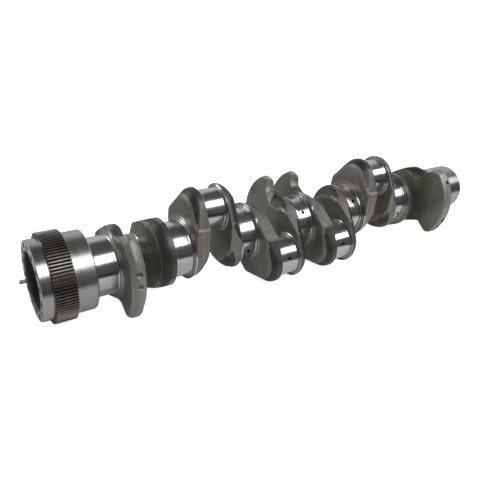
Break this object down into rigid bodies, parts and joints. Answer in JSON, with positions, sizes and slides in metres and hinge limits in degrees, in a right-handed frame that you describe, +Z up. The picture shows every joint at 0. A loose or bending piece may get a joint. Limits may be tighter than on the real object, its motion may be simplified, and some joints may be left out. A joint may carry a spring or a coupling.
{
  "type": "crankshaft",
  "caption": "Forged crankshaft of a heavy in-line diesel engine: ground journals and crankpins, oval webs, counterweights, gear ring and flywheel flange.",
  "frame": {"origin": "on the axis of rotation, at the middle of the fourth main journal", "axes": "+X along the axis of rotation from the flywheel flange to the nose, +Z up with the second and fifth crankpins straight up, as the shaft rests on a flat floor"},
  "size_m": [1.2231, 0.2492, 0.2335],
  "materials": {
    "ground_steel": "ground and polished, near mirror",
    "turned_steel": "fine turned, satin",
    "gear_steel": "dark oiled, machined teeth",
    "dowel_steel": "ground",
    "forged_steel": "dark forged, with machined flanks",
    "counterweight_steel": "blasted forging skin"
  },
  "bodies": {
    "root": {"crank_gear": "gear_steel", "crankpin_1": "ground_steel", "crankpin_2": "ground_steel", "crankpin_3": "ground_steel", "crankpin_4": "ground_steel", "crankpin_5": "ground_steel", "crankpin_6": "ground_steel", "flywheel_dowel_pin": "dowel_steel", "front_nose": "turned_steel", "main_journal_1": "ground_steel", "main_journal_2": "ground_steel", "main_journal_3": "ground_steel", "main_journal_4": "ground_steel", "main_journal_5": "ground_steel", "main_journal_6": "ground_steel", "main_journal_7": "ground_steel", "rear_flange": "turned_steel", "rear_seal_ring": "turned_steel", "web_01": "counterweight_steel", "web_02": "forged_steel", "web_03": "forged_steel", "web_04": "forged_steel", "web_05": "forged_steel", "web_06": "counterweight_steel", "web_07": "counterweight_steel", "web_08": "forged_steel", "web_09": "forged_steel", "web_10": "forged_steel", "web_11": "forged_steel", "web_12": "counterweight_steel"}
  },
  "joints": []
}
